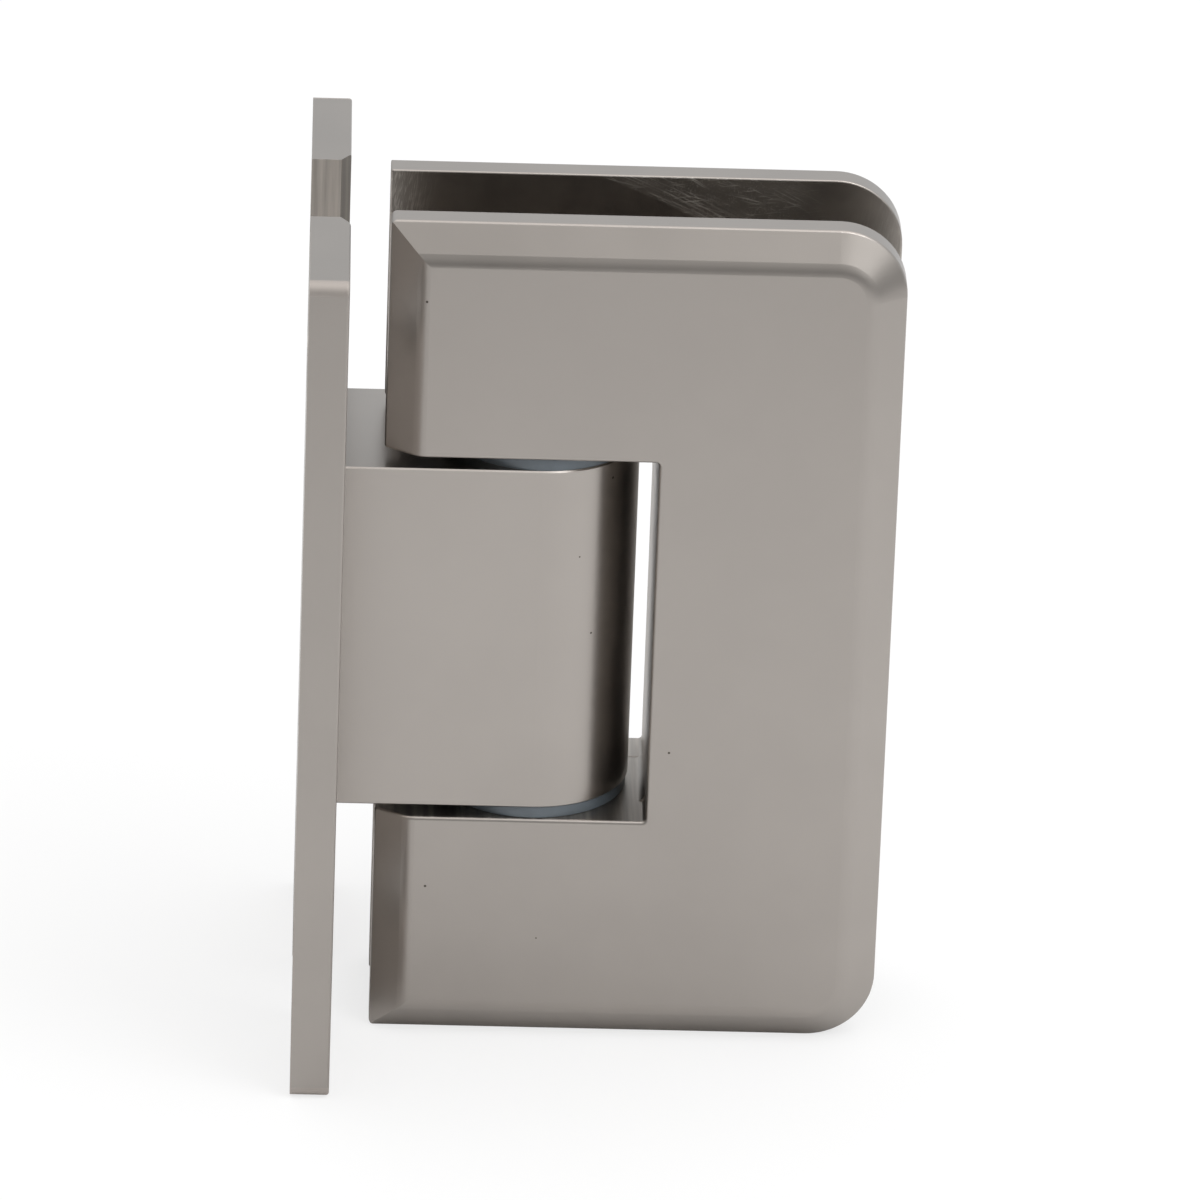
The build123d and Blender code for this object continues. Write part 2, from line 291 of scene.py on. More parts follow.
    def measure(self, operation: str, vector: Socket, other: Triple) -> Socket:
        """Measures a vector against a fixed one.

        Args:
            operation: DISTANCE or DOT_PRODUCT.
            vector: the vector.
            other: the fixed one.

        Returns:
            The measure.
        """
        node = self.add("ShaderNodeVectorMath", operation=operation)
        self.join(vector, node.inputs[0])
        node.inputs[1].default_value = other
        return node.outputs["Value"]

    def noise(
        self, vector: Socket, scale: object, detail: float = 2.0, rough: float = 0.5
    ) -> Socket:
        """Adds a noise texture.

        Args:
            vector: coordinates.
            scale: its scale.
            detail: number of octaves.
            rough: weight of the finer octaves.

        Returns:
            The noise value.
        """
        node = self.add("ShaderNodeTexNoise")
        self.join(vector, node.inputs["Vector"])
        self.feed(node.inputs["Scale"], scale)
        node.inputs["Detail"].default_value = detail
        node.inputs["Roughness"].default_value = rough
        return node.outputs["Fac"]


@dataclass
class EffectGroup:
    """A surface effect that several finishes share, as a node group.

    Args:
        name: the group's name.
        inputs: names and default values of its inputs.
        outputs: names of its value outputs.
    """

    name: str
    inputs: dict[str, float]
    outputs: tuple[str, ...]
    tree: bpy.types.NodeTree = field(init=False)
    sheet: NodeSheet = field(init=False)
    source: bpy.types.Node = field(init=False)
    target: bpy.types.Node = field(init=False)

    def __post_init__(self) -> None:
        """Makes the group's tree and its sockets."""
        self.tree = bpy.data.node_groups.new(self.name, "ShaderNodeTree")
        sockets = self.tree.interface
        for name, value in self.inputs.items():
            socket = sockets.new_socket(name, in_out="INPUT", socket_type="NodeSocketFloat")
            socket.default_value = value
        for name in self.outputs:
            sockets.new_socket(name, in_out="OUTPUT", socket_type="NodeSocketFloat")
        self.sheet = NodeSheet(self.tree)
        self.source = self.sheet.add("NodeGroupInput")
        self.target = self.sheet.add("NodeGroupOutput")

    def given(self, name: str) -> Socket:
        """Gives the socket of one of the group's inputs."""
        return self.source.outputs[name]

    def give(self, name: str, value: Socket) -> None:
        """Links a value to one of the group's outputs."""
        self.sheet.join(value, self.target.inputs[name])

    def put(self, sheet: NodeSheet, **values: float) -> bpy.types.Node:
        """Places the group in a material.

        Args:
            sheet: the material's nodes.
            values: inputs to set, with spaces in their names as underscores.

        Returns:
            The group node.
        """
        node = sheet.add("ShaderNodeGroup", node_tree=self.tree)
        for name, value in values.items():
            node.inputs[name.replace("_", " ")].default_value = value
        return node


def make_grain() -> EffectGroup:
    """Builds the fine grain of a blasted or moulded skin and its soft clouds.

    Returns:
        A group with a Height in micrometres and a Cloud from 0 to 1.
    """
    inputs = {"Fine Size": 9.0, "Depth": 0.5, "Cloud Size": 0.08}
    group = EffectGroup("grain", inputs, ("Height", "Cloud"))
    sheet = group.sheet
    place = sheet.place()
    fine = sheet.noise(place, group.given("Fine Size"), detail=3.0, rough=0.6)
    group.give("Height", sheet.times(fine, group.given("Depth")))
    cloud = sheet.noise(place, group.given("Cloud Size"), detail=2.0, rough=0.55)
    group.give("Cloud", sheet.step(cloud, 0.3, 0.7))
    return group


def make_specks() -> EffectGroup:
    """Builds scattered specks a few tenths of a millimetre across.

    Returns:
        A group with a Speck mask.
    """
    inputs = {"Per Millimetre": 0.2, "Size": 0.02, "Share": 0.1}
    group = EffectGroup("specks", inputs, ("Speck",))
    sheet = group.sheet
    cells = sheet.add("ShaderNodeTexVoronoi", feature="F1")
    sheet.join(sheet.place(), cells.inputs["Vector"])
    sheet.join(group.given("Per Millimetre"), cells.inputs["Scale"])
    near = sheet.math("LESS_THAN", cells.outputs["Distance"], group.given("Size"))
    split = sheet.add("ShaderNodeSeparateColor")
    sheet.join(cells.outputs["Color"], split.inputs["Color"])
    chosen = sheet.math("LESS_THAN", split.outputs["Red"], group.given("Share"))
    group.give("Speck", sheet.times(near, chosen))
    return group


def make_zone() -> EffectGroup:
    """Builds the mask of a box on a piece, alike on both sides of the XY and XZ planes.

    Returns:
        A group with a Mask that is 1 on faces in the box that look along the given axes.
    """
    names = ["%s %s" % (axis.name, end) for axis in Axis for end in ("Low", "High")]
    names += ["Facing %s" % axis.name for axis in Axis]
    group = EffectGroup("zone", {name: 0.0 for name in names}, ("Mask",))
    sheet = group.sheet
    where = sheet.add("ShaderNodeTexCoord")
    inside, shares = [], []
    for axis, value in zip(Axis, sheet.parts(sheet.place())):
        value = sheet.math("ABSOLUTE", value)
        inside.append(sheet.math("GREATER_THAN", value, group.given(axis.name + " Low")))
        inside.append(sheet.math("LESS_THAN", value, group.given(axis.name + " High")))
    for axis, value in zip(Axis, sheet.parts(where.outputs["Normal"])):
        along = group.given("Facing " + axis.name)
        shares.append(sheet.times(sheet.math("ABSOLUTE", value), along))
    facing = sheet.math("GREATER_THAN", sheet.plus(*shares), FACING_SHARE)
    group.give("Mask", sheet.times(*inside, facing))
    return group


def make_milling() -> EffectGroup:
    """Builds the soft streaks that a side mill leaves, fine across and long along its run.

    Returns:
        A group with a Streak from 0 to 1.
    """
    inputs = {"Across %s" % axis.name: 1.0 for axis in Axis}
    group = EffectGroup("milling", inputs, ("Streak",))
    sheet = group.sheet
    values = [
        sheet.times(value, group.given("Across " + axis.name))
        for axis, value in zip(Axis, sheet.parts(sheet.place()))
    ]
    streak = sheet.noise(sheet.vector(*values), 1.0, detail=4.0, rough=0.6)
    group.give("Streak", sheet.step(streak, 0.28, 0.74))
    return group


def make_turning() -> EffectGroup:
    """Builds the rings of turned pieces, which stand mirrored about the XY plane.

    Returns:
        A group with a Ring from 0 to 1, about an axis along Y at the given X and Z.
    """
    inputs = {"Centre X": 0.0, "Centre Z": 0.0, "Rings": 6.0}
    group = EffectGroup("turning", inputs, ("Ring",))
    sheet = group.sheet
    x, _, z = sheet.parts(sheet.place())
    off_x = sheet.minus(x, group.given("Centre X"))
    off_z = sheet.minus(sheet.math("ABSOLUTE", z), group.given("Centre Z"))
    rings = sheet.times(sheet.radius(off_x, off_z), group.given("Rings"))
    ring = sheet.noise(sheet.vector(rings, 0.0, 0.0), 1.0, detail=2.0, rough=0.6)
    group.give("Ring", sheet.step(ring, 0.35, 0.65))
    return group


@dataclass(frozen=True)
class Grinding:
    """Marks inside the glass slot: arcs of a grinding wheel, fine strokes and rubbed ends.

    Args:
        middle: X and Z of the middle of the arcs.
        arc_r: radius of the first arc.
        rim: half the width of the soft rim at the first arc.
        bundle: distances beyond the first arc where the arcs end and where they are full.
        arc_fineness: how fine the arcs are across and along.
        worked: X where the worked part begins and where it is full, from the open end.
        strokes: angle in degrees and fineness across of each set of strokes.
        stroke_length: fineness of the strokes along their run.
        stroke_bright: brightness of the strokes.
        speckle: fineness and brightness of the specks between them.
        haze: brightness of the whole worked part.
        wall_end: X where the rubbed wall end begins and where it is full.
        open_end: X where the rubbed open end begins and where it is full.
        open_share: strength of the open end.
        upright_bright: brightness of the upright strokes on the ends.
    """

    middle: Span = (-10.8, -57.6)
    arc_r: float = 110.0
    rim: float = 0.12
    bundle: Span = (4.0, 0.6)
    arc_fineness: Span = (6.0, 9.0)
    worked: Span = (53.5, 46.0)
    strokes: tuple[Span, ...] = ((14.0, 5.0), (-7.0, 5.5), (28.0, 6.0))
    stroke_length: float = 0.2
    stroke_bright: float = 0.85
    speckle: Span = (4.5, 0.5)
    haze: float = 0.14
    wall_end: Span = (13.5, 8.5)
    open_end: Span = (54.0, 58.5)
    open_share: float = 0.15
    upright_bright: float = 0.75

    def build(self) -> EffectGroup:
        """Builds the group.

        Returns:
            A group with a Scratch mask and a Pale mask of the rubbed ends.
        """
        group = EffectGroup("grinding", {"Density": 1.0}, ("Scratch", "Pale"))
        sheet = group.sheet
        x, _, z = sheet.parts(sheet.place())
        off_x = sheet.minus(x, self.middle[0])
        off_z = sheet.minus(sheet.math("ABSOLUTE", z), self.middle[1])
        reach = sheet.radius(off_x, off_z)
        turn = sheet.math("ARCTAN2", off_z, off_x)
        beyond = sheet.step(reach, self.arc_r - self.rim, self.arc_r + self.rim)
        worked = sheet.times(beyond, sheet.step(x, *self.worked))
        open_end = sheet.times(sheet.step(x, *self.open_end), self.open_share)
        pale = sheet.most(sheet.step(x, *self.wall_end), open_end)
        arcs = sheet.times(self.arcs(sheet, reach, turn), worked)
        middle = sheet.times(self.scratches(sheet), worked)
        ends = sheet.times(self.uprights(sheet), pale, self.upright_bright)
        every = sheet.most(arcs, middle, ends)
        group.give("Scratch", sheet.math("MULTIPLY", every, group.given("Density"), clamp=True))
        group.give("Pale", pale)
        return group

    def arcs(self, sheet: NodeSheet, reach: Socket, turn: Socket) -> Socket:
        """Draws the wheel's arcs near the first one.

        Args:
            sheet: the group's nodes.
            reach: distance from the middle of the arcs.
            turn: angle about it.

        Returns:
            The arcs' mask.
        """
        across, along = self.arc_fineness
        where = sheet.vector(sheet.times(reach, across), sheet.times(turn, along), 0.0)
        rings = sheet.noise(where, 1.0, detail=3.0, rough=0.7)
        end, full = self.bundle
        near = sheet.step(reach, self.arc_r + end, self.arc_r + full)
        return sheet.times(sheet.step(rings, 0.5, 0.62), near)

    def scratches(self, sheet: NodeSheet) -> Socket:
        """Draws the crossing strokes and the specks between them, thin in places.

        Args:
            sheet: the group's nodes.

        Returns:
            The scratches' mask.
        """
        strokes = []
        for angle, across in self.strokes:
            where = sheet.place((self.stroke_length, 1.0, across), (0.0, angle, 0.0))
            strokes.append(sheet.step(sheet.noise(where, 1.0, rough=0.6), 0.60, 0.68))
        size, bright = self.speckle
        specks = sheet.noise(sheet.place((size, 1.0, size)), 1.0, detail=3.0, rough=0.7)
        specks = sheet.times(sheet.step(specks, 0.52, 0.68), bright)
        marks = sheet.most(sheet.times(sheet.most(*strokes), self.stroke_bright), specks)
        patches = sheet.step(sheet.noise(sheet.place((0.8, 1.0, 0.8)), 1.0), 0.36, 0.6)
        return sheet.plus(sheet.times(marks, sheet.spread(patches, 0.45, 1.0)), self.haze)

    def uprights(self, sheet: NodeSheet) -> Socket:
        """Draws the upright strokes of the rubbed ends.

        Args:
            sheet: the group's nodes.

        Returns:
            The strokes' mask.
        """
        where = sheet.place((7.0, 1.0, 0.7), (0.0, 9.0, 0.0))
        return sheet.step(sheet.noise(where, 1.0, detail=4.0, rough=0.65), 0.46, 0.66)


@dataclass(frozen=True)
class Effects:
    """The shared effects, built once."""

    grain: EffectGroup
    specks: EffectGroup
    zone: EffectGroup
    milling: EffectGroup
    grinding: EffectGroup
    turning: EffectGroup

    @classmethod
    def build(cls) -> "Effects":
        """Builds all the groups."""
        return cls(
            grain=make_grain(),
            specks=make_specks(),
            zone=make_zone(),
            milling=make_milling(),
            grinding=Grinding().build(),
            turning=make_turning(),
        )


@dataclass(frozen=True)
class Skin:
    """What one finish gives at each point of a surface.

    Args:
        tone: its colour.
        rough: its roughness.
        height: its relief, in micrometres.
    """

    tone: Socket
    rough: Socket
    height: Socket

    def under(self, sheet: NodeSheet, mask: Socket, other: "Skin") -> "Skin":
        """Lays another skin over this one.

        Args:
            sheet: the material's nodes.
            mask: where the other skin shows.
            other: that skin.

        Returns:
            The blended skin.
        """
        return Skin(
            sheet.mix(mask, self.tone, other.tone),
            sheet.spread(mask, self.rough, other.rough),
            sheet.spread(mask, self.height, other.height),
        )


@dataclass(frozen=True)
class Zone:
    """Box on a piece, in millimetres, whose faces have a finish of their own.

    Args:
        low: lowest X, Y and Z, all without their sign.
        high: highest X, Y and Z, all without their sign.
        facing: the axes along which its faces look.
    """

    low: Triple
    high: Triple
    facing: tuple[Axis, ...]

    def mask(self, sheet: NodeSheet, effects: Effects) -> Socket:
        """Places the zone's mask in a material.

        Args:
            sheet: the material's nodes.
            effects: the shared effect groups.

        Returns:
            The mask.
        """
        values = {"%s_Low" % axis.name: low - EDGE for axis, low in zip(Axis, self.low)}
        values.update({"%s_High" % axis.name: high + EDGE for axis, high in zip(Axis, self.high)})
        values.update({"Facing_%s" % axis.name: 1.0 for axis in self.facing})
        return effects.zone.put(sheet, **values).outputs["Mask"]


@dataclass(frozen=True)
class Pit:
    """Single dark pit in the plating.

    Args:
        place: its middle.
        radius: its radius.
    """

    place: Triple
    radius: float

    def mask(self, sheet: NodeSheet) -> Socket:
        """Gives the pit's mask, with a soft rim."""
        away = sheet.measure("DISTANCE", sheet.place(), self.place)
        return sheet.step(away, self.radius * 1.25, self.radius * 0.8)


@dataclass(frozen=True)
class SatinPlate:
    """Satin nickel plating on a finely blasted face.

    Args:
        rough: middle roughness.
        pits: its single dark pits.
        tone: its colour.
        tone_drift: how much the soft clouds change its colour either way.
        rough_drift: how much they change its roughness either way.
        pit_dark: how far a pit or speck hides the plating.
        pit_depth: depth of a pit or speck.
    """

    rough: float
    pits: tuple[Pit, ...] = ()
    tone: Tone = Tone.NICKEL
    tone_drift: float = 0.025
    rough_drift: float = 0.015
    pit_dark: float = 0.92
    pit_depth: float = 6.0

    def lay(self, sheet: NodeSheet, effects: Effects) -> Skin:
        """Lays the finish.

        Args:
            sheet: the material's nodes.
            effects: the shared effect groups.

        Returns:
            The finish's skin.
        """
        grain = effects.grain.put(sheet, Fine_Size=9.0, Depth=0.45, Cloud_Size=0.085)
        specks = effects.specks.put(sheet, Per_Millimetre=0.24, Size=0.02, Share=0.035)
        cloud = grain.outputs["Cloud"]
        dark = sheet.most(specks.outputs["Speck"], *(pit.mask(sheet) for pit in self.pits))
        tone = sheet.shade(cloud, self.tone, 1.0 - self.tone_drift, 1.0 + self.tone_drift)
        tone = sheet.mix(sheet.times(dark, self.pit_dark), tone, rgba(Tone.PIT.value))
        rough = sheet.spread(cloud, self.rough - self.rough_drift, self.rough + self.rough_drift)
        height = sheet.minus(grain.outputs["Height"], sheet.times(dark, self.pit_depth))
        return Skin(tone, rough, height)


@dataclass(frozen=True)
class MilledWall:
    """Plated wall with the streaks of the side mill.

    Args:
        run: axis along which the streaks run.
        tone: its colour.
        rough: middle roughness.
        along: fineness of the streaks along their run.
        across: their fineness across it.
        rough_drift: how much a streak changes the roughness either way.
        streak_height: relief of a streak.
    """

    run: Axis
    # By default a lighter nickel: painted light, used on the notch walls.
    tone: Tone = Tone.MILLED_NICKEL
    rough: float = 0.42
    along: float = 0.04
    across: float = 1.1
    rough_drift: float = 0.06
    streak_height: float = 3.0

    def lay(self, sheet: NodeSheet, effects: Effects) -> Skin:
        """Lays the finish.

        Args:
            sheet: the material's nodes.
            effects: the shared effect groups.

        Returns:
            The finish's skin.
        """
        fineness = {axis: self.along if axis is self.run else self.across for axis in Axis}
        values = {"Across_%s" % axis.name: value for axis, value in fineness.items()}
        streak = effects.milling.put(sheet, **values).outputs["Streak"]
        grain = effects.grain.put(sheet, Fine_Size=5.0, Depth=1.2, Cloud_Size=0.4)
        tone = sheet.shade(streak, self.tone, 0.72, 1.2)
        rough = sheet.spread(streak, self.rough - self.rough_drift, self.rough + self.rough_drift)
        height = sheet.plus(grain.outputs["Height"], sheet.times(streak, self.streak_height))
        return Skin(tone, rough, height)


@dataclass(frozen=True)
class GroundFace:
    """Thinly plated face with the marks of the grinding wheel, as inside the glass slot.

    Args:
        rough: roughness between the marks.
        marked_rough: how much rougher the marks are.
        density: strength of the marks.
        rubbed: how far the plating is rubbed at the pale ends.
        dust_bright: brightness of the dust specks.
    """

    rough: float = 0.3
    marked_rough: float = 0.2
    density: float = 0.8
    rubbed: float = 0.5
    dust_bright: float = 0.9

    def lay(self, sheet: NodeSheet, effects: Effects) -> Skin:
        """Lays the finish.

        Args:
            sheet: the material's nodes.
            effects: the shared effect groups.

        Returns:
            The finish's skin.
        """
        marks = effects.grinding.put(sheet, Density=self.density)
        grain = effects.grain.put(sheet, Fine_Size=6.0, Depth=1.0, Cloud_Size=0.2)
        dust = effects.specks.put(sheet, Per_Millimetre=0.75, Size=0.055, Share=0.09)
        rubbed = sheet.times(marks.outputs["Pale"], self.rubbed)
        specks = sheet.times(dust.outputs["Speck"], self.dust_bright)
        bright = sheet.most(marks.outputs["Scratch"], specks)
        tone = sheet.shade(grain.outputs["Cloud"], Tone.RAW_NICKEL, 0.9, 1.1)
        tone = sheet.mix(rubbed, tone, rgba(Tone.NICKEL.value))
        tone = sheet.mix(bright, tone, rgba(Tone.DUST.value, 1.3))
        marked = sheet.most(rubbed, bright)
        rough = sheet.spread(marked, self.rough, self.rough + self.marked_rough)
        return Skin(tone, rough, grain.outputs["Height"])


@dataclass(frozen=True)
class TurnedFace:
    """Turned steel with fine rings.

    Args:
        centre_x: X of the rings' middle.
        centre_z: Z of the rings' middle, without its sign.
        tone: its colour.
        rough: usual roughness.
        ring_height: relief of a ring.
    """

    centre_x: float
    centre_z: float
    tone: Tone = Tone.STEEL
    rough: float = 0.34
    ring_height: float = 2.5

    def lay(self, sheet: NodeSheet, effects: Effects) -> Skin:
        """Lays the finish.

        Args:
            sheet: the material's nodes.
            effects: the shared effect groups.

        Returns:
            The finish's skin.
        """
        centre = {"Centre_X": self.centre_x, "Centre_Z": self.centre_z}
        ring = effects.turning.put(sheet, Rings=7.0, **centre).outputs["Ring"]
        grain = effects.grain.put(sheet, Fine_Size=7.0, Depth=0.8, Cloud_Size=0.5)
        tone = sheet.shade(ring, self.tone, 0.86, 1.06)
        rough = sheet.spread(grain.outputs["Cloud"], self.rough - 0.04, self.rough + 0.06)
        height = sheet.plus(grain.outputs["Height"], sheet.times(ring, self.ring_height))
        return Skin(tone, rough, height)


@dataclass(frozen=True)
class MouldedFace:
    """Moulded or cut plastic.

    Args:
        tone: its colour.
        rough: middle roughness.
        rough_drift: how much the soft clouds change its roughness either way.
    """

    tone: Tone
    rough: float = 0.4
    rough_drift: float = 0.05

    def lay(self, sheet: NodeSheet, effects: Effects) -> Skin:
        """Lays the finish.

        Args:
            sheet: the material's nodes.
            effects: the shared effect groups.

        Returns:
            The finish's skin.
        """
        grain = effects.grain.put(sheet, Fine_Size=4.0, Depth=2.0, Cloud_Size=0.35)
        cloud = grain.outputs["Cloud"]
        tone = sheet.shade(cloud, self.tone, 0.9, 1.08)
        rough = sheet.spread(cloud, self.rough - self.rough_drift, self.rough + self.rough_drift)
        return Skin(tone, rough, grain.outputs["Height"])


Finish = SatinPlate | MilledWall | GroundFace | TurnedFace | MouldedFace


@dataclass(frozen=True)
class Coat:
    """Whole finish of a piece: its main finish and the zones that differ.

    Args:
        name: the material's name.
        main: the finish of most of the piece.
        metal: 1 for metal, 0 for plastic.
        zones: the zones and the finish of each.
        glow: share of light that a plastic lets in under its skin.
        glow_depth: how deep red, green and blue light goes in, in millimetres.
    """

    name: str
    main: Finish
    metal: float = 1.0
    zones: tuple[tuple[Zone, Finish], ...] = ()
    glow: float = 0.0
    glow_depth: Triple = (0.6, 0.7, 0.9)

    def build(self, effects: Effects) -> bpy.types.Material:
        """Builds the material.

        Args:
            effects: the shared effect groups.

        Returns:
            The material.
        """
        material = bpy.data.materials.new(self.name)
        material.use_nodes = True
        sheet = NodeSheet(material.node_tree)
        shader = material.node_tree.nodes["Principled BSDF"]
        skin = self.main.lay(sheet, effects)
        for zone, finish in self.zones:
            skin = skin.under(sheet, zone.mask(sheet, effects), finish.lay(sheet, effects))
        sheet.join(skin.tone, shader.inputs["Base Color"])
        sheet.join(skin.rough, shader.inputs["Roughness"])
        shader.inputs["Metallic"].default_value = self.metal
        shader.inputs["Subsurface Weight"].default_value = self.glow
        shader.inputs["Subsurface Radius"].default_value = self.glow_depth
        shader.inputs["Subsurface Scale"].default_value = 1.0 / PER_METRE
        bump = sheet.add("ShaderNodeBump")
        bump.inputs["Distance"].default_value = MICROMETRE
        sheet.join(skin.height, bump.inputs["Height"])
        sheet.join(bump.outputs["Normal"], shader.inputs["Normal"])
        return material


def dress(node: str, material: bpy.types.Material) -> None:
    """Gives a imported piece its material.

    Args:
        node: the piece's name.
        material: the material for all its faces.
    """
    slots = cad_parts[node].data.materials
    for index in range(len(slots)):
        slots[index] = material
    if not slots:
        slots.append(material)
    LOG.info("dressed %s in %s", node, material.name)


@dataclass
class WallSide:
    """Wall plate, block, washers, bushes and the block's screws, in millimetres.

    Args:
        effects: the shared effect groups.
        notch_half: half the width of a notch.
        notch_root: height at which a notch begins.
        bevel_width: width of the bevel beside a notch.
        bevel_depth: its depth.
        thickness: the plate's thickness.
        half_width: half the plate's width.
        half_height: half the plate's height.
        edge_r: radius of the plate's front and rear edges.
        block_screw_z: height of the block's screws.
        block_pits: the pits in the block's plating.
    """

    effects: Effects
    notch_half: float = 7.5
    notch_root: float = 25.0
    bevel_width: float = 1.6
    bevel_depth: float = 1.0
    thickness: float = 4.0
    half_width: float = 25.0
    half_height: float = 45.0
    edge_r: float = 1.2
    block_screw_z: float = 13.5
    block_pits: tuple[Pit, ...] = (
        Pit((31.2, -7.0, 17.0), 0.13),
        Pit((28.04, -9.2, 9.1), 0.10),
        Pit((29.5, -8.4, 0.3), 0.12),
    )

    def corner(self) -> Triple:
        """Gives the plate's outermost corner."""
        return (self.thickness, self.half_width, self.half_height)

    def room_side(self) -> Zone:
        """Gives the faces that look into the room."""
        return Zone((self.thickness, 0.0, 0.0), self.corner(), (Axis.X,))

    def rims(self) -> Zone:
        """Gives the rims of the plate's ends."""
        low = (0.0, self.half_width - self.edge_r, self.half_height - self.edge_r)
        return Zone(low, self.corner(), (Axis.Y, Axis.Z))

    def bevels(self) -> Zone:
        """Gives the bevels beside the notches."""
        low = (self.thickness - self.bevel_depth, self.notch_half, self.notch_root)
        high = (self.thickness, self.notch_half + self.bevel_width, self.half_height)
        return Zone(low, high, (Axis.X, Axis.Y))

    def notches(self) -> Zone:
        """Gives the walls of the notches."""
        high = (self.thickness, self.notch_half, self.half_height)
        return Zone((0.0, 0.0, self.notch_root), high, (Axis.Y, Axis.Z))

    def plate_coat(self) -> Coat:
        """Gives the wall plate's finish, with painted light on its room side, rims and notch walls
        and painted shade on its notch bevels.

        Returns:
            The coat.
        """
        zones = (
            # Room side: lighter nickel, painted light that brightens its reflection in the clamp.
            (self.room_side(), SatinPlate(0.32, tone=Tone.RUBBED_NICKEL)),
            # Rims: lighter nickel, a painted highlight on the rounded edges.
            (self.rims(), SatinPlate(0.68, tone=Tone.RUBBED_NICKEL)),
            # Notch bevels: darker nickel, painted shade.
            (self.bevels(), MilledWall(Axis.Z, Tone.DULL_NICKEL, 0.5)),
            # Notch walls: lighter milled nickel, painted light.
            (self.notches(), MilledWall(Axis.Z)),
        )
        return Coat("wall_plate_nickel", SatinPlate(0.36, tone=Tone.PLATE_NICKEL), zones=zones)

    def finish(self) -> None:
        """Dresses every piece that stays on the wall."""
        dress("wall_plate", self.plate_coat().build(self.effects))
        block = Coat("block_nickel", SatinPlate(0.3, self.block_pits))
        dress("pivot_block", block.build(self.effects))
        screws = Coat("block_screw_steel", TurnedFace(0.0, self.block_screw_z))
        dress("block_screws", screws.build(self.effects))
        nylon = Coat("washer_nylon", MouldedFace(Tone.NYLON, 0.34), metal=0.0, glow=0.2)
        washer = nylon.build(self.effects)
        acetal = Coat("bush_acetal", MouldedFace(Tone.ACETAL), metal=0.0)
        bush = acetal.build(self.effects)
        for place in ("upper", "lower"):
            dress(place + "_washer", washer)
            dress(place + "_bush", bush)


@dataclass
class Detent:
    """The sprung bar inside the block.

    Args:
        effects: the shared effect groups.
        springs: number of coil springs.
    """

    effects: Effects
    springs: int = 3

    def finish(self) -> None:
        """Dresses the bar and its springs."""
        bar = Coat("bar_acetal", MouldedFace(Tone.BLACK_ACETAL), metal=0.0)
        dress("detent_bar", bar.build(self.effects))
        wire = Coat("spring_wire", TurnedFace(0.0, 0.0, Tone.WIRE)).build(self.effects)
        for number in range(1, self.springs + 1):
            dress("detent_spring_%d" % number, wire)


@dataclass
class DoorLeaf:
    """The two clamp plates, the pin and the clamp screws, in millimetres.

    Args:
        effects: the shared effect groups.
        left: X of the wall end.
        right: X of the glass end.
        slot_half: half the width of the slot.
        face: Y of the outer faces, without its sign.
        half_height: half the height.
        cut_right: X of the cut-out's upright wall.
        cut_half: half the height of the cut-out.
        pin_x: X of the pin.
        screw_x: X of the clamp screws.
        screw_z: their height.
        front_pits: the pits in the front plate's plating.
    """

    effects: Effects
    left: float = 8.0
    right: float = 60.0
    slot_half: float = 5.2
    face: float = 10.2
    half_height: float = 45.0
    cut_right: float = 35.7
    cut_half: float = 20.05
    pin_x: float = 24.0
    screw_x: float = 41.5
    screw_z: float = 26.55
    front_pits: tuple[Pit, ...] = (
        Pit((11.8, -10.2, 37.16), 0.13),
        Pit((13.37, -10.2, -27.86), 0.13),
        Pit((37.81, -10.2, -12.13), 0.12),
        Pit((24.92, -10.2, -33.52), 0.08),
    )

    def slot_faces(self) -> Zone:
        """Gives the faces on both sides of the glass."""
        low = (self.left, self.slot_half, 0.0)
        return Zone(low, (self.right, self.slot_half, self.half_height), (Axis.Y,))

    def cut_walls(self) -> Zone:
        """Gives the walls of the cut-out round the block."""
        high = (self.cut_right, self.face, self.cut_half)
        return Zone((self.left, 0.0, 0.0), high, (Axis.X, Axis.Z))

    def clamp_coat(self, name: str, pits: tuple[Pit, ...] = ()) -> Coat:
        """Gives the finish of a clamp plate.

        Args:
            name: the material's name.
            pits: the pits in its plating.

        Returns:
            The coat.
        """
        zones = (
            (self.slot_faces(), GroundFace()),
            (self.cut_walls(), MilledWall(Axis.Y, Tone.CUT_NICKEL, 0.44)),
        )
        return Coat(name, SatinPlate(0.37, pits), zones=zones)

    def finish(self) -> None:
        """Dresses every piece that swings with the door."""
        front = self.clamp_coat("front_clamp_nickel", self.front_pits)
        dress("front_clamp_plate", front.build(self.effects))
        rear = self.clamp_coat("rear_clamp_nickel")
        dress("rear_clamp_plate", rear.build(self.effects))
        pin = Coat("pin_steel", TurnedFace(self.pin_x, 0.0))
        dress("pivot_pin", pin.build(self.effects))
        screws = Coat("clamp_screw_steel", TurnedFace(self.screw_x, self.screw_z))
        dress("clamp_screws", screws.build(self.effects))


